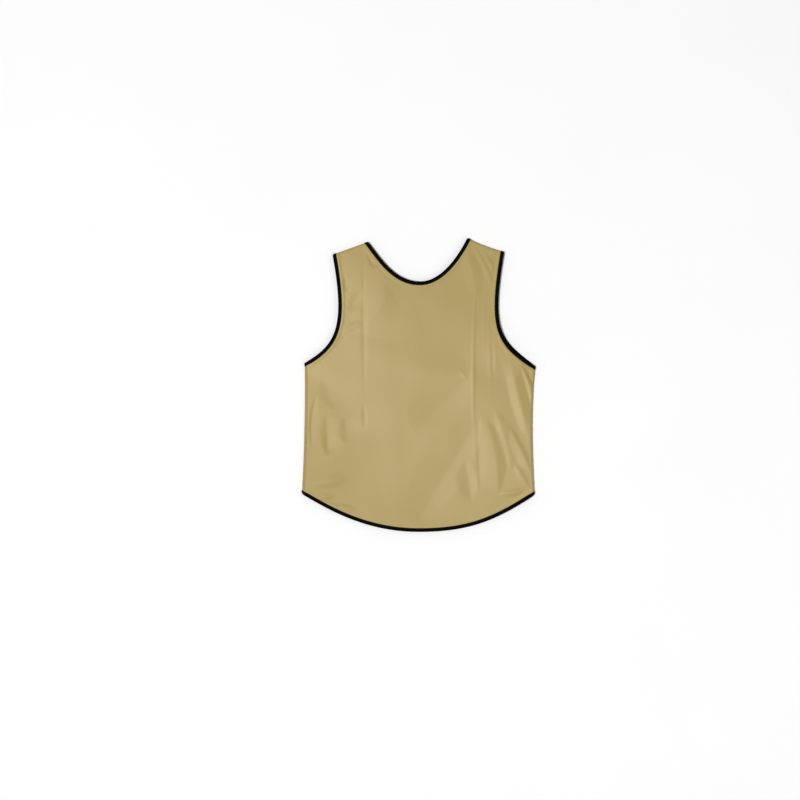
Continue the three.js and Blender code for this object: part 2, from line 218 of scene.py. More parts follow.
# Broad swells, which carry the tapes with them: the rise to the right armhole, the hollow of the chest, and
# the rise to each side of the lower body
SWELLS = (
    Fold((264, 16), (186, 176), 8, 74, 30, 3.8, 0.2),
    Fold((86, 20), (100, 300), 0, 190, 84, -3.8, 0.5),
    Fold((283, -300), (283, 110), 0, 100, 10, 2.6, 0.3),
    Fold((-283, -330), (-278, 20), 0, 10, 110, 4.2, 0.3),
)

# Slow waves of the front: length across, length along, turn of phase, height
Wave = namedtuple("Wave", "across along phase height")
WAVES = (
    Wave(118, 640, 0.4, 0.08),
    Wave(71, 900, 1.9, 0.05),
    Wave(-260, 190, 2.6, 0.30),
    Wave(310, 150, 5.2, 0.20),
)

# The cloth bulges where the tape lets it go, and the stitching gathers it in small slanting puckers. They
# set in over the start and die away over the reach. A second wave makes them uneven: its share of the
# height, its turns for one turn of the first wave, and its phase.
BULGE_HEIGHT = 0.7
BULGE_WIDTH = 3.2
PUCKER_LENGTH = 17.0
PUCKER_HEIGHT = 0.1
PUCKER_SLANT = 0.8
PUCKER_START = 4.0
PUCKER_REACH = 14.0
SECOND_SHARE = 0.6
SECOND_TURNS = 1.7
SECOND_PHASE = 1.1

# How finely the panels and the tapes are divided. Columns widen inwards by a power of their place. Edges
# are searched at fine samples, and distances from them are measured at fewer.
TURN_STEPS = 7
Grid = namedtuple("Grid", "columns body chest strap")
GRIDS = {"front": Grid(96, 98, 38, 40), "back": Grid(44, 56, 24, 26)}
COLUMN_POWER = 1.3
TAPE_STEP = 3.0
FINE_SAMPLES = 4001
EDGE_SAMPLES = 260

# Distances from a fold at which the cloth has made equal parts of its quarter turn
TURN = FOLD_RADIUS * (1 - np.cos(np.linspace(0, np.pi / 2, TURN_STEPS + 1)))

# Past a fold, a tape turns from the fold's way to square to the edge over this distance
SQUARE_REACH = 16.0

# One row of stitches holds each tape, close to its inner edge. A stitch is a thread of a few sides in a few
# rings, and in its own radii it arches by the one number after it is sunk by the other.
STITCH_INWARD = 5.6
STITCH_PITCH = 3.4
STITCH_LENGTH = 2.5
STITCH_RADIUS = 0.3
STITCH_SIDES = 6
STITCH_RINGS = 5
STITCH_ARCH = 1.6
STITCH_SUNK = 0.9

# Section of the tape: points over a face or round the fold, the rise of the domed face, the dent pressed in
# by the stitches, how far the rim stands out and is rounded off, and how far the slot goes past the raw
# edge
SECTION_POINTS = 9
TAPE_DOME = 0.2
STITCH_DENT = 0.22
STITCH_DENT_WIDTH = 0.8
RIM_BULGE = 0.25
RIM_ROUND_INSIDE = 0.15
RIM_ROUND_OUTSIDE = 0.2
SLOT_DEPTH = 0.5

# A wave texture of scale 1 repeats over this length. The ribs of the tape slant by this many degrees.
WAVE_TURN = 2 * np.pi / 20
RIB_SLANT = 40

# Worn parts of the satin: which way they lie, where they start and are full along it in metres, and the
# roughness that they add
Worn = namedtuple("Worn", "way start full duller")
WORN = (
    Worn((0.55, 1.0, 0.0), 0.1, 0.32, 0.13),
    Worn((-0.6, -1.0, 0.0), 0.17, 0.38, 0.07),
)

# The studio, in metres and watts: a white floor and white surroundings, a key light from the left, and a
# weaker one from the right
FLOOR_HALF = 6.0
WORLD_STRENGTH = 0.3
Light = namedtuple("Light", "name place size power")
LIGHTS = (
    Light("key", (-2.4, -0.6, 10.0), 1.7, 760),
    Light("fill", (2.0, -0.8, 2.6), 2.0, 10),
)

# The camera looks straight down. One pixel of the 800 is 2.42 mm on the cloth, and the middle of the
# picture lies left of and below the middle of the bib by these numbers of pixels.
PIXEL = 2.42 * MM
PICTURE = 800
PICTURE_MIDDLE = (-18.6, -15.4)
LENS = 180


def smooth(value):
    """Zero to one along an S: 3t² - 2t³ of the value held between 0 and 1."""
    share = np.clip(value, 0, 1)
    return share * share * (3 - 2 * share)


def mix(a, b, share):
    """The value that lies a share of the way from a to b."""
    return a + (b - a) * share


def unit(vectors):
    """Vectors scaled to length one."""
    return vectors / np.linalg.norm(vectors, axis=-1, keepdims=True)


def quarter_turn(ways):
    """Directions of the plan, turned to the left by a right angle."""
    return np.stack([-ways[..., 1], ways[..., 0]], -1)


def bent_edge(start, start_handle, end, end_handle):
    """The four points of a cubic edge: its two ends, each with the handle that bends it."""
    start, end = np.array(start, float), np.array(end, float)
    return np.array([start, start + start_handle, end + end_handle, end])


def edges_of(panel, side):
    """The three bound edges of half a panel."""
    corner, handle = CORNERS[side], HANDLES[panel][side]
    return {
        "hem": bent_edge(corner["hem"], handle["hem"], HEM_LOWEST, handle["hem_lowest"]),
        "armhole": bent_edge(corner["armpit"], handle["armpit"], corner["tip"], handle["tip"]),
        "neck": bent_edge(NECK_LOWEST, handle["neck_lowest"], corner["neck"], handle["neck"]),
    }


EDGES = {panel: {side: edges_of(panel, side) for side in SIDES} for panel in UP}


def edge_point(edge, share):
    """Points of a cubic edge: its four points weighed by (1-t)³, 3(1-t)²t, 3(1-t)t² and t³."""
    t = np.asarray(share, float)[..., None]
    s = 1 - t
    return s**3 * edge[0] + 3 * s * s * t * edge[1] + 3 * s * t * t * edge[2] + t**3 * edge[3]


def edge_way(edge, share):
    """Unit directions along a cubic edge: the slope of edge_point, scaled to length one."""
    t = np.asarray(share, float)[..., None]
    s = 1 - t
    return unit(s * s * (edge[1] - edge[0]) + 2 * s * t * (edge[2] - edge[1]) + t * t * (edge[3] - edge[2]))


def side_seam(side, y):
    """x and slope of a side seam at height y: a cubic from hem to armpit, straight on past both."""
    corner = CORNERS[side]
    (hem_x, hem_y), (armpit_x, armpit_y), (low_x, high_x) = corner["hem"], corner["armpit"], corner["bow"]
    t = np.clip((y - hem_y) / (armpit_y - hem_y), 0, 1)
    s = 1 - t
    x = s**3 * hem_x + 3 * s * s * t * low_x + 3 * s * t * t * high_x + t**3 * armpit_x
    bend = s * s * (low_x - hem_x) + 2 * s * t * (high_x - low_x) + t * t * (armpit_x - high_x)
    slope = 3 * bend / (armpit_y - hem_y)
    return x + slope * (y - mix(hem_y, armpit_y, t)), slope


def side_fold(side, points):
    """Distance of points from a side fold, measured across, and the way in from it."""
    way = 1 if side == "left" else -1
    seam, slope = side_seam(side, points[..., 1])
    return way * (points[..., 0] - seam), np.stack([np.full_like(slope, way), -way * slope], -1)


def shoulder_fold(side, points):
    """Distance of points from the straight shoulder fold, and the way in from it, square to the fold."""
    tip = np.array(CORNERS[side]["tip"], float)
    way = -1 if side == "left" else 1
    inward = way * quarter_turn(unit(np.array(CORNERS[side]["neck"]) - tip))
    return (points - tip) @ inward, np.broadcast_to(inward, points.shape)


def nearest_fold(points):
    """Distance of points from the nearest of the four folds, the way in from it, its radius and power."""
    folds = [fold(side, points) for side in SIDES for fold in (side_fold, shoulder_fold)]
    distances = np.stack([distance for distance, _ in folds])
    nearest = distances.argmin(0)
    inward = np.choose(nearest[..., None], [way for _, way in folds])
    on_left_side = nearest == 0
    radius = np.where(on_left_side, LEFT_FOLD_RADIUS, FOLD_RADIUS)
    return distances.min(0), inward, radius, np.where(on_left_side, LEFT_FOLD_POWER, FOLD_POWER)


def seam_height(points):
    """Height of the seam nearest to points: low down the left side below the armpit, and full elsewhere."""
    armpit_x, armpit_y = CORNERS["left"]["armpit"]
    beside = smooth((armpit_x + LOW_SEAM_REACH - points[..., 0]) / LOW_SEAM_FADE)
    below = smooth((armpit_y - points[..., 1]) / LOW_SEAM_START)
    return mix(SEAM_HEIGHT, LEFT_SEAM_HEIGHT, beside * below)


def eased_corners(points):
    """Plan points with the corners rounded off and the right shoulder sagging.

    Beside a corner, points move along the fold, away from the bound edge, by R - √(R² - (R - d)²) at a
    distance d from the fold, and less the further they lie from that edge. The sag is a parabola along the
    shoulder that dies away below it.
    """
    moved = points.astype(float)
    for side in SIDES:
        for name, other, fold in (
            ("tip", "neck", shoulder_fold),
            ("neck", "tip", shoulder_fold),
            ("hem", "armpit", side_fold),
        ):
            corner = np.array(CORNERS[side][name], float)
            along = unit(np.array(CORNERS[side][other]) - corner)
            radius = CORNER_ROUNDS[name]
            apart = np.clip(fold(side, points)[0], 0, radius)
            from_edge = (points - corner) @ along + TAPE_FOLD
            shift = radius - np.sqrt(radius**2 - (radius - apart) ** 2)
            moved += along * (shift * np.clip(1 - from_edge / TAPE_WIDTH, 0, 1))[..., None]
        tip = np.array(CORNERS[side]["tip"], float)
        shoulder = np.array(CORNERS[side]["neck"]) - tip
        share = np.clip((points - tip) @ shoulder / (shoulder @ shoulder), 0, 1)
        distance, inward = shoulder_fold(side, points)
        sag = SHOULDER_SAG[side] * 4 * share * (1 - share) * np.clip(1 - distance / SAG_REACH, 0, 1)
        moved += inward * sag[..., None]
    return moved


def bound_distance(panel, points):
    """Distance of points from the nearest of many points along a panel's bound edges."""
    samples = np.linspace(0, 1, EDGE_SAMPLES)
    nearest = np.full(points.shape[:-1], np.inf)
    for side in SIDES:
        for edge in EDGES[panel][side].values():
            along = edge_point(edge, samples)
            squared = (points[..., 0, None] - along[:, 0]) ** 2 + (points[..., 1, None] - along[:, 1]) ** 2
            nearest = np.minimum(nearest, squared.min(-1))
    return np.sqrt(nearest)


def fold_rise(fold, points):
    """Height of one fold: a tent whose crest and feet are rounded. Along its way it grows as 1 - (2t - 1)²,
    and its flanks narrow towards the tips."""
    start = np.array(fold.start, float)
    along = np.array(fold.end) - start
    length = np.linalg.norm(along)
    along /= length
    offset = points - start
    share = np.clip(offset @ along / length, 0, 1)
    aside = offset @ quarter_turn(along) - 4 * fold.bow * share * (1 - share)
    grown = 1 - (2 * share - 1) ** 2
    flank = np.where(aside > 0, fold.left, fold.right) * mix(FOLD_TIP_WIDTH, 1, grown)
    inside = 1 + fold.soft - np.hypot(aside / flank, fold.soft)
    return fold.rise * grown * (inside + np.hypot(inside, fold.soft)) / 2


def wave_rise(wave, points):
    """Height of one slow wave: a sine of the point's place across and along."""
    turn = 2 * np.pi * (points[..., 0] / wave.across + points[..., 1] / wave.along)
    return wave.height * np.sin(turn + wave.phase)


def front_relief(points, bound):
    """Relief of the front: its swells, its folds and waves, less of them at the tape, and beside the tape a
    bulge, which is a bell curve, and puckers, which are two sines that die away from it."""
    swells = sum(fold_rise(swell, points) for swell in SWELLS)
    folds = sum(fold_rise(fold, points) for fold in FOLDS) + sum(wave_rise(wave, points) for wave in WAVES)
    kept = mix(FOLD_SHARE_AT_TAPE, 1, smooth((bound - TAPE_WIDTH) / FOLD_RUN_IN))
    beside = bound - TAPE_WIDTH + TAPE_FOLD
    bulge = BULGE_HEIGHT * np.exp(-(((beside - BULGE_WIDTH) / BULGE_WIDTH) ** 2))
    turn = 2 * np.pi * (points[..., 0] + PUCKER_SLANT * points[..., 1]) / PUCKER_LENGTH
    uneven = np.sin(turn) + SECOND_SHARE * np.sin(SECOND_TURNS * turn + SECOND_PHASE)
    fading = smooth(beside / PUCKER_START) * np.exp(-np.maximum(beside, 0) / PUCKER_REACH)
    return swells + folds * kept + bulge + PUCKER_HEIGHT * uneven * fading


def cloth_height(panel, points):
    """Height of the middle of a panel's cloth, away from the folds: the back lies flat and lifts at the
    tapes, and the front is crowned by parabolas across and along, with its relief on top."""
    bound = bound_distance(panel, points)
    if panel == "back":
        lift = 1 - smooth((bound - TAPE_WIDTH) / (2 * TAPE_WIDTH))
        return mix(BACK_HEIGHT, BACK_EDGE_HEIGHT, lift)
    beside = CROWN_AT_SIDES * smooth((ROUND_ABOVE - points[..., 1]) / (ROUND_ABOVE - FLAT_BELOW))
    across = 1 - (1 - beside) * np.clip(np.abs(points[..., 0]) / HALF_CHEST, 0, 1) ** 2
    along = 1 - (1 - CROWN_AT_ENDS) * (points[..., 1] / HALF_LENGTH) ** 2
    return FRONT_EDGE_HEIGHT + FRONT_CROWN * across * along + front_relief(points, bound)


def surface(panel, points):
    """Middle of a panel's cloth over points of the plan: a quarter round from the seam's height to the
    cloth's, drawn in a little at the seam itself. At a distance d from the fold, the cloth has made the
    share (1 - (1 - d/R)^p)^(1/p) of its rise."""
    distance, inward, radius, power = nearest_fold(points)
    seam = seam_height(points)
    to_go = 1 - np.clip(distance / radius, 0, 1)
    rise = (cloth_height(panel, points) - seam) * (1 - to_go**power) ** (1 / power)
    tuck = SEAM_TUCK * np.exp(-((rise / SEAM_TUCK_HEIGHT) ** 2))
    plan = eased_corners(points) + inward * tuck[..., None]
    return np.concatenate([plan, (seam + rise)[..., None]], -1)


def surface_normal(panel, points):
    """Outward normals of the cloth: its own slope away from the folds, and that of the round at them."""
    distance, inward, radius, power = nearest_fold(points)
    distance, radius, power = distance[..., None], radius[..., None], power[..., None]
    to_go = 1 - np.clip(distance / radius, 0, 1)
    made = (1 - to_go**power) ** (1 / power)
    step = 0.5
    slopes = [
        (cloth_height(panel, points + shift) - cloth_height(panel, points - shift)) / (2 * step)
        for shift in (np.array([step, 0]), np.array([0, step]))
    ]
    slope = np.stack(slopes, -1)
    rise = (cloth_height(panel, points) - seam_height(points))[..., None]
    plan = -(radius * made**power * slope + rise * to_go ** (power - 1) * inward)
    return unit(UP[panel] * np.concatenate([plan, radius * made ** (power - 1)], -1))


def shares_from_side(edge, side, distances):
    """Places along an edge that starts at a side fold, where it has gone these distances from the fold."""
    fine = np.linspace(0, 1, FINE_SAMPLES)
    return np.interp(distances, side_fold(side, edge_point(edge, fine))[0], fine)


def shares_to_shoulder(edge, side):
    """Places along an edge that ends at a shoulder fold, at equal parts of the cloth's turn over it."""
    fine = np.linspace(0, 1, FINE_SAMPLES)
    shares = np.interp(-TURN[::-1], -shoulder_fold(side, edge_point(edge, fine))[0], fine)
    shares[-1] = 1
    return shares


def row_places(panel, length):
    """Distances of a row's points from its outer end: equal parts of the turn over a fold, and then steps
    that widen inwards over the rest of the row's length."""
    columns = GRIDS[panel].columns
    even = np.linspace(0, 1, columns + 1)[1:] ** COLUMN_POWER
    fixed = np.concatenate([TURN, np.full(columns, FOLD_RADIUS)])
    stretch = np.concatenate([np.zeros(TURN_STEPS + 1), even])
    return fixed + stretch * (length - FOLD_RADIUS)


def centre_x(y):
    """x of the centre line at height y: a straight line from the bottom of the hem to that of the neck."""
    return mix(HEM_LOWEST[0], NECK_LOWEST[0], (y - HEM_LOWEST[1]) / (NECK_LOWEST[1] - HEM_LOWEST[1]))


def body_rows(panel, side):
    """Plan points of half a panel below the armpit, in rows from the side seam to the centre line. The rows
    change evenly from the hem's curve to the line across the chest."""
    hem, armpit = EDGES[panel][side]["hem"], CORNERS[side]["armpit"]
    half_width = side_fold(side, np.array(HEM_LOWEST, float))[0]
    hem_points = edge_point(hem, shares_from_side(hem, side, row_places(panel, half_width)))
    hem_points[0], hem_points[-1] = hem[0], hem[3]
    rise = np.linspace(0, 1, GRIDS[panel].body + 1)[:, None]
    chest_width = abs(armpit[0])
    chest_y = mix(armpit[1], CHEST_MIDDLE, row_places(panel, chest_width) / chest_width)
    y = mix(hem_points[:, 1], chest_y, rise)
    seam = side_seam(side, y)[0]
    width = np.abs(centre_x(y) - seam)
    x = mix(seam, centre_x(y), row_places(panel, width) / width)
    x += (hem_points[:, 0] - x[0]) * (1 - rise)
    return np.stack([x, y], -1)


def upper_rows(panel, side):
    """Plan points of half a panel above the armpit, in straight rows from the armhole to the centre line
    and further up to the neck, and how many of the rows end on the centre line."""
    grid, armhole, neck = GRIDS[panel], EDGES[panel][side]["armhole"], EDGES[panel][side]["neck"]
    armhole_start = shares_from_side(armhole, side, TURN[1:])
    armhole_top = shares_to_shoulder(armhole, side)
    neck_top = shares_to_shoulder(neck, side)
    neck_level = mix(armhole_start[-1], armhole_top[0], grid.chest / (grid.chest + grid.strap))
    beside_chest = np.linspace(armhole_start[-1], neck_level, grid.chest + 1)[1:]
    beside_strap = np.linspace(neck_level, armhole_top[0], grid.strap + 1)[1:]
    outer_shares = np.concatenate([armhole_start, beside_chest, beside_strap, armhole_top[1:]])
    outer = edge_point(armhole, outer_shares)
    centre_y = np.linspace(CHEST_MIDDLE, NECK_LOWEST[1], TURN_STEPS + grid.chest + 1)[1:]
    centre = np.stack([centre_x(centre_y), centre_y], -1)
    neck_shares = np.concatenate([np.linspace(0, neck_top[0], grid.strap + 1)[1:], neck_top[1:]])
    inner = np.concatenate([centre, edge_point(neck, neck_shares)])
    length = np.linalg.norm(inner - outer, axis=-1, keepdims=True)
    rows = mix(outer[:, None], inner[:, None], (row_places(panel, length) / length)[..., None])
    return rows, len(centre)


def half_plan(panel, side):
    """Plan points of half a panel, in rows from the hem up, and the number of the row at the bottom of the
    neck."""
    body = body_rows(panel, side)
    upper, to_centre = upper_rows(panel, side)
    return np.concatenate([body, upper]), len(body) + to_centre - 1


def point_numbers(rows, columns):
    """Numbers of the points of a grid, row after row."""
    return np.arange(rows * columns).reshape(rows, columns)


def grid_quads(index):
    """Quads of a grid of point numbers, each from its own corner and the next ones along and across."""
    return np.stack([index[:-1, :-1], index[:-1, 1:], index[1:, 1:], index[1:, :-1]], -1).reshape(-1, 4)


def mesh_piece(name, points, quads, material):
    """A smooth mesh piece at the origin, from points in millimetres, that rides with the whole bib."""
    mesh = bpy.data.meshes.new(name)
    mesh.from_pydata((points * MM).tolist(), [], quads.tolist())
    mesh.polygons.foreach_set("use_smooth", np.ones(len(quads), bool))
    mesh.materials.append(material)
    piece = bpy.data.objects.new(name, mesh)
    bpy.context.collection.objects.link(piece)
    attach(piece, "root")
    return piece


def cloth_panel(panel, material):
    """A panel: both halves of its middle surface, joined along the centre line below the neck, then given
    the cloth's thickness."""
    points, quads, start = [], [], 0
    centre_line = None
    for side in SIDES:
        plan, neck_row = half_plan(panel, side)
        index = start + point_numbers(*plan.shape[:2])
        points.append(surface(panel, plan).reshape(-1, 3))
        start += index.size
        if centre_line is None:
            centre_line = index[: neck_row + 1, -1]
        else:
            index[: neck_row + 1, -1] = centre_line
        faces_out = (side == "left") == (panel == "front")
        quads.append(grid_quads(index if faces_out else index[:, ::-1]))
    points, quads = np.concatenate(points), np.concatenate(quads)
    used, numbers = np.unique(quads, return_inverse=True)
    piece = mesh_piece(f"{panel}_cloth", points[used], numbers.reshape(-1, 4), material)
    solid = piece.modifiers.new("cloth thickness", "SOLIDIFY")
    solid.thickness = CLOTH_THICKNESS * MM
    solid.offset = 0
    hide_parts(f"{panel}_panel")
    return piece


def edge_run(panel, side, name):
    """Stations along a bound edge: points and the way into the cloth. They crowd where the edge goes over a
    fold. The way in follows the fold there, and turns square to the edge further on."""
    edge = EDGES[panel][side][name]
    fine = np.linspace(0, 1, FINE_SAMPLES)
    along = edge_point(edge, fine)
    distance = nearest_fold(along)[0]
    near = 2 * FOLD_RADIUS
    low, high = np.array([0.0]), np.array([1.0])
    if name != "neck":
        count = np.argmax(distance > near)
        low = np.interp(TURN, distance[:count], fine[:count])
    if name != "hem":
        count = np.argmax(distance[::-1] > near)
        high = np.interp(TURN, distance[::-1][:count], fine[::-1][:count])[::-1]
    length = np.linalg.norm(np.diff(along, axis=0), axis=-1).sum() * (high[0] - low[-1])
    between = np.linspace(low[-1], high[0], round(length / TAPE_STEP))
    shares = np.concatenate([low[:-1], between, high[1:]])

    points = edge_point(edge, shares)
    square = quarter_turn(edge_way(edge, shares))
    square *= np.sign((square * -points).sum(-1, keepdims=True))
    distance, fold_inward = nearest_fold(points)[:2]
    beside = unit(quarter_turn(fold_inward))
    beside *= np.sign((beside * square).sum(-1, keepdims=True))
    return points, unit(mix(beside, square, smooth((distance - FOLD_RADIUS) / SQUARE_REACH)[:, None]))


def run_across(panel, name):
    """Stations of the neck or the hem across both halves of a panel, from the left seam to the right."""
    left, right = edge_run(panel, "left", name), edge_run(panel, "right", name)
    if name == "hem":
        return tuple(np.concatenate([a, b[-2::-1]]) for a, b in zip(left, right))
    return tuple(np.concatenate([a[::-1], b[1:]]) for a, b in zip(left, right))


def on_both(run, *edge):
    """Stations of an edge on the front and on the back."""
    return {panel: run(panel, *edge) for panel in UP}


def tape_section():
    """The folded tape's section as distances in from the raw edge and out from the cloth: a softly domed
    upper face with the stitches' dent, a round fold past the edge, the same below, and the slot that holds
    the cloth."""
    inner = TAPE_WIDTH - TAPE_FOLD
    face = np.linspace(inner, 0, SECTION_POINTS)
    pressed = STITCH_DENT * np.exp(-(((face - STITCH_INWARD) / STITCH_DENT_WIDTH) ** 2))
    dome = TAPE_HALF + TAPE_DOME * np.sin(np.pi * face / inner) - pressed
    turn = np.linspace(np.pi / 2, -np.pi / 2, SECTION_POINTS)[1:-1]
    slot = TAPE_HALF - TAPE_THICKNESS
    rim = np.array([slot + RIM_ROUND_INSIDE, TAPE_HALF - RIM_ROUND_OUTSIDE])
    upper = np.stack([face, dome], -1)
    upper_rim = np.stack([np.full(2, inner + RIM_BULGE), rim], -1)
    fold = np.stack([-TAPE_FOLD * np.cos(turn), TAPE_HALF * np.sin(turn)], -1)
    hollow = np.array([(inner, -slot), (0, -slot), (-SLOT_DEPTH, 0), (0, slot), (inner, slot)])
    lower, lower_rim = upper[::-1] * (1, -1), upper_rim[::-1] * (1, -1)
    return np.concatenate([upper, fold, lower, lower_rim, hollow, upper_rim])


SECTION = tape_section()
STITCH_CORNER = int(np.argmin(np.hypot(SECTION[:, 0] - STITCH_INWARD, SECTION[:, 1] - TAPE_HALF)))


def tape_points(panel, run):
    """Rings of a tape along a run of stations, shape (stations, section, 3), and the normals under them."""
    stations, inward = run
    plan = stations[:, None] + inward[:, None] * SECTION[None, :, :1]
    normal = surface_normal(panel, plan)
    return surface(panel, plan) + normal * SECTION[None, :, 1:], normal


def closed(points):
    """Points of a loop with the first one again at the end."""
    return np.concatenate([points, points[:1]])


def lengths_round(points):
    """How far along a loop each of its points lies, and the length of the whole loop."""
    return np.concatenate([[0], np.cumsum(np.linalg.norm(np.diff(closed(points), axis=0), axis=-1))])


def binding(name, node, runs, clockwise, material):
    """A tape carried round a closed loop: the front's stations and then the back's on the way home. Its UV
    map runs along the tape in U and round its section in V, in metres. Returns the piece, its stitch line
    and the normals there."""
    front, front_normals = tape_points("front", runs["front"])
    back, back_normals = tape_points("back", runs["back"])
    rings = np.concatenate([front, back[-2:0:-1]])
    normals = np.concatenate([front_normals, back_normals[-2:0:-1]])
    line = rings[:, STITCH_CORNER]
    count, around = rings.shape[:2]
    quads = grid_quads(np.pad(point_numbers(count, around), ((0, 1), (0, 1)), "wrap"))
    u, v = np.meshgrid(lengths_round(line), lengths_round(SECTION), indexing="ij")
    corners = np.stack([u, v], -1).reshape(-1, 2)[grid_quads(point_numbers(count + 1, around + 1))]
    if clockwise:
        quads, corners = quads[:, ::-1], corners[:, ::-1]
    piece = mesh_piece(name, rings.reshape(-1, 3), quads, material)
    layer = piece.data.uv_layers.new(name="tape")
    layer.uv.foreach_set("vector", (corners * MM).astype(np.float32).ravel())
    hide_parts(node)
    return piece, line, normals[:, STITCH_CORNER]


def stitch_row(name, line, normals, material):
    """Stitches along a closed line: short round threads that arch out of the tape and dive back into it.
    Each is a ring of points carried along its piece of the line, lifted by half a wave."""
    along = lengths_round(line)
    count = int(along[-1] / STITCH_PITCH)
    share = np.linspace(-0.5, 0.5, STITCH_RINGS)
    places = (np.arange(count)[:, None] + 0.5) * along[-1] / count + share * STITCH_LENGTH

    def at_places(values):
        return np.stack([np.interp(places, along, column) for column in closed(values).T], -1)

    centre = at_places(line)
    out = unit(at_places(normals))
    side = np.cross(unit(np.gradient(centre, axis=1)), out)
    lift = STITCH_RADIUS * (STITCH_ARCH * np.cos(np.pi * share) - STITCH_SUNK)
    centre += out * lift[None, :, None]
    turn = np.linspace(0, 2 * np.pi, STITCH_SIDES + 1)[:-1]
    ring = side[:, :, None] * np.cos(turn)[:, None] + out[:, :, None] * np.sin(turn)[:, None]
    points = centre[:, :, None] + STITCH_RADIUS * ring
    numbers = point_numbers(STITCH_RINGS, STITCH_SIDES)
    one_stitch = grid_quads(np.pad(numbers, ((0, 0), (0, 1)), "wrap"))[:, ::-1]
    quads = one_stitch + (np.arange(count) * numbers.size)[:, None, None]
    return mesh_piece(name, points.reshape(-1, 3), quads.reshape(-1, 4), material)


def linear(hex_colour):
    """An sRGB hex colour as linear red, green, blue and full alpha."""
    value = np.array([int(hex_colour[i : i + 2], 16) for i in (1, 3, 5)]) / 255
    value = np.where(value <= 0.04045, value / 12.92, ((value + 0.055) / 1.055) ** 2.4)
    return (*value, 1.0)


def add(tree, kind, inputs=None, **settings):
    """One node with its settings. Each input is a value, or the output that it is linked to."""
    node = tree.nodes.new(kind)
    for name, value in settings.items():
        setattr(node, name, value)
    for name, value in (inputs or {}).items():
        if isinstance(value, bpy.types.NodeSocket):
            tree.links.new(value, node.inputs[name])
        else:
            node.inputs[name].default_value = value
    return node


def noise(tree, vector, scale, detail=2, roughness=0.5):
    """Cloudy noise from 0 to 1."""
    inputs = {"Vector": vector, "Scale": scale, "Detail": detail, "Roughness": roughness}
    return add(tree, "ShaderNodeTexNoise", inputs).outputs["Fac"]


def bands(tree, vector, pitch, distortion, detail):
    """Wandering bands across X from 0 to 1, a pitch of so many millimetres apart."""
    scale = WAVE_TURN / (pitch * MM)
    inputs = {"Vector": vector, "Scale": scale, "Distortion": distortion, "Detail": detail}
    return add(tree, "ShaderNodeTexWave", inputs, wave_type="BANDS", bands_direction="X").outputs["Fac"]


def ramp(tree, value, old_range, new_range, **settings):
    """A value mapped from one range to another."""
    inputs = {"Value": value}
    inputs["From Min"], inputs["From Max"] = old_range
    inputs["To Min"], inputs["To Max"] = new_range
    return add(tree, "ShaderNodeMapRange", inputs, **settings).outputs["Result"]


def two_tone(tree, factor, first, second):
    """A colour that goes from one sRGB hex colour to another as its factor goes from 0 to 1."""
    inputs = {"Factor": factor, "A": linear(first), "B": linear(second)}
    return add(tree, "ShaderNodeMix", inputs, data_type="RGBA").outputs["Result"]


def bump(tree, height, strength, distance, below=None):
    """A relief of so many millimetres, on top of another one if there is one below."""
    inputs = {"Height": height, "Strength": strength, "Distance": distance * MM}
    if below is not None:
        inputs["Normal"] = below
    return add(tree, "ShaderNodeBump", inputs).outputs[0]


def new_material(name, coordinates):
    """An empty node material, its node tree, and the coordinates that its patterns are drawn on."""
    material = bpy.data.materials.new(name)
    material.use_nodes = True
    tree = material.node_tree
    tree.nodes.clear()
    return material, tree, add(tree, "ShaderNodeTexCoord").outputs[coordinates]


def shade(tree, inputs):
    """Gives a material its surface, with these inputs."""
    skin = add(tree, "ShaderNodeBsdfPrincipled", inputs)
    add(tree, "ShaderNodeOutputMaterial", {"Surface": skin.outputs[0]})


def satin_polyester():
    """Satin-woven polyester: long floating warp threads give a smooth face with a soft wide gloss, fine
    streaks along the warp, and a tone that drifts a little over a hand's breadth."""
    material, tree, place = new_material("gold satin polyester", "Object")
    # Bundles of warp threads, about 4 mm wide and 150 mm long
    along_warp = add(tree, "ShaderNodeMapping", {"Vector": place, "Scale": (250, 6.7, 250)})
    streaks = noise(tree, along_warp.outputs[0], scale=1, detail=3, roughness=0.6)
    drift = noise(tree, place, scale=9)
    tone = add(tree, "ShaderNodeMix", {"Factor": 0.45, "A": streaks, "B": drift}, data_type="FLOAT")
    spread = ramp(tree, tone.outputs["Result"], (0.35, 0.65), (0, 1))
    # Warp floats and weft, 0.3 mm in the real weave and drawn at 1.2 mm so that they show
    warp = bands(tree, place, pitch=1.2, distortion=0.6, detail=1)
    weave = bump(tree, warp, strength=0.12, distance=0.2)
    # The face is brushed duller towards the right shoulder and the left of the hem, where it rubs most
    roughness = ramp(tree, streaks, (0.3, 0.7), (0.43, 0.45))
    for worn in WORN:
        reach = add(tree, "ShaderNodeVectorMath", {0: place, 1: worn.way}, operation="DOT_PRODUCT")
        duller = ramp(
            tree,
            reach.outputs["Value"],
            (worn.start, worn.full),
            (0, worn.duller),
            interpolation_type="SMOOTHSTEP",
        )
        roughness = add(tree, "ShaderNodeMath", {0: roughness, 1: duller}).outputs[0]
    shade(
        tree,
        {
            "Base Color": two_tone(tree, spread, "#a38e55", "#a69158"),
            "Roughness": roughness,
            "Specular IOR Level": 0.5,
            "Specular Tint": linear("#fff6da"),
            "Sheen Weight": 0.04,
            "Sheen Roughness": 0.4,
            "Sheen Tint": linear("#fff3d0"),
            "Normal": bump(tree, streaks, strength=0.02, distance=0.6, below=weave),
        },
    )
    return material


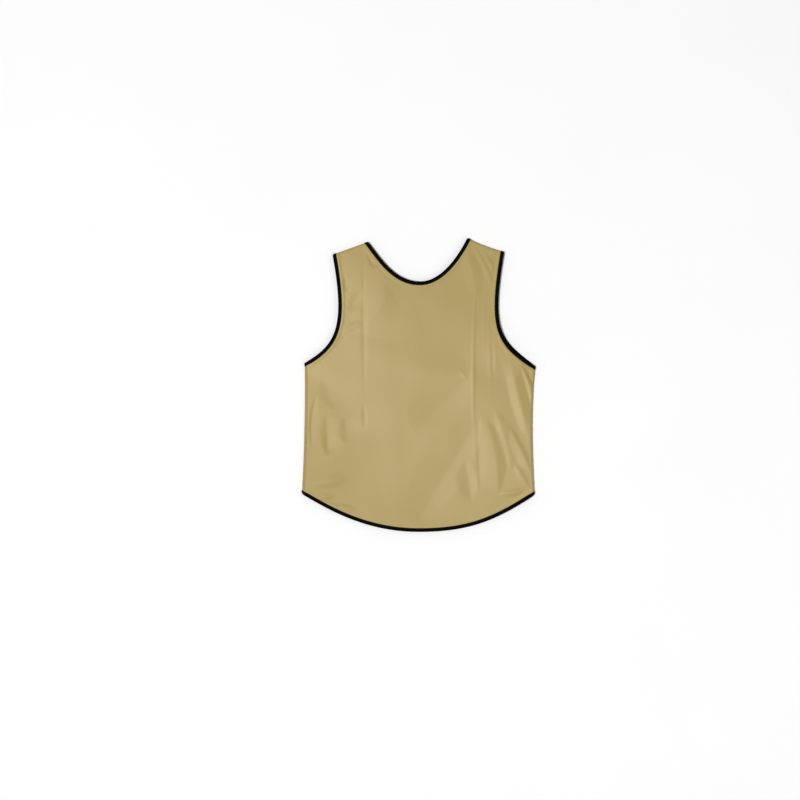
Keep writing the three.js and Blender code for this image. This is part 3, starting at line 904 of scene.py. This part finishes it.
def twill_tape():
    """Black cotton twill cut on the bias and folded: matt, with a fine nap and slanting ribs that are a
    shade lighter than the grooves between them."""
    material, tree, place = new_material("black bias twill tape", "UV")
    slanted = add(tree, "ShaderNodeMapping", {"Vector": place, "Rotation": (0, 0, np.radians(RIB_SLANT))})
    # Twill ribs, 0.5 mm in the real tape and drawn at 1.5 mm so that they show
    ribs = bands(tree, slanted.outputs[0], pitch=1.5, distortion=0.8, detail=2)
    twill = bump(tree, ribs, strength=0.5, distance=0.4)
    nap = noise(tree, place, scale=900)
    shade(
        tree,
        {
            "Base Color": two_tone(tree, ribs, "#040303", "#070605"),
            "Roughness": 0.9,
            "Specular IOR Level": 0.06,
            "Normal": bump(tree, nap, strength=0.3, distance=0.3, below=twill),
        },
    )
    return material


def sewing_thread():
    """Black spun polyester thread: round and a little glossier than the tape, so that each stitch catches
    light."""
    material, tree, place = new_material("black sewing thread", "Object")
    ply = noise(tree, place, scale=1500, detail=1)
    colour = two_tone(tree, ply, "#0e0d0d", "#201e1d")
    shade(tree, {"Base Color": colour, "Roughness": 0.55, "Specular IOR Level": 0.35})
    return material


def studio_floor():
    """Matt white paper under the bib, with the faintest mottling."""
    material, tree, place = new_material("white studio paper", "Object")
    colour = two_tone(tree, noise(tree, place, scale=3), "#f7f7f7", "#fafafa")
    shade(tree, {"Base Color": colour, "Roughness": 0.9, "Specular IOR Level": 0.1})
    corners = [(x * FLOOR_HALF, y * FLOOR_HALF, 0) for x, y in ((-1, -1), (1, -1), (1, 1), (-1, 1))]
    mesh = bpy.data.meshes.new("floor")
    mesh.from_pydata(corners, [], [(0, 1, 2, 3)])
    mesh.materials.append(material)
    floor = bpy.data.objects.new("floor", mesh)
    bpy.context.collection.objects.link(floor)
    return floor


def soft_light(name, place, size, power):
    """A square soft box that faces the middle of the bib."""
    data = bpy.data.lights.new(name, "AREA")
    data.shape = "SQUARE"
    data.size = size
    data.energy = power
    light = bpy.data.objects.new(name, data)
    bpy.context.collection.objects.link(light)
    way = -np.array(place)
    pitch = np.arctan2(np.hypot(way[0], way[1]), -way[2])
    light.location = place
    light.rotation_euler = (pitch, 0, np.arctan2(way[1], way[0]) - np.pi / 2)


# The object
gold_satin = satin_polyester()
black_tape = twill_tape()
black_thread = sewing_thread()

front_cloth = cloth_panel("front", gold_satin)
back_cloth = cloth_panel("back", gold_satin)

# Each tape: its name, the solid that it replaces, its stations on both panels, and if it goes clockwise
LOOPS = (
    ("neck", "neck_binding", on_both(run_across, "neck"), True),
    ("hem", "hem_binding", on_both(run_across, "hem"), False),
    ("armhole_left", "armhole_binding_left", on_both(edge_run, "left", "armhole"), True),
    ("armhole_right", "armhole_binding_right", on_both(edge_run, "right", "armhole"), False),
)
trims = []
for name, node, runs, clockwise in LOOPS:
    tape, line, normals = binding(f"{name}_tape", node, runs, clockwise, black_tape)
    trims += [tape, stitch_row(f"{name}_stitches", line, normals, black_thread)]

floor = studio_floor()

# The studio
world = bpy.data.worlds.new("studio")
world.use_nodes = True
world.node_tree.nodes["Background"].inputs["Color"].default_value = linear("#ffffff")
world.node_tree.nodes["Background"].inputs["Strength"].default_value = WORLD_STRENGTH
bpy.context.scene.world = world
for light in LIGHTS:
    soft_light(*light)
bpy.context.scene.view_settings.view_transform = "Standard"

# The camera
camera_data = bpy.data.cameras.new("camera")
camera_data.lens = LENS
camera = bpy.data.objects.new("camera", camera_data)
distance = PICTURE * PIXEL * camera_data.lens / camera_data.sensor_width
middle_x, middle_y = PICTURE_MIDDLE
camera.location = (middle_x * PIXEL, middle_y * PIXEL, distance + FRONT_EDGE_HEIGHT * MM)
bpy.context.collection.objects.link(camera)
bpy.context.scene.camera = camera
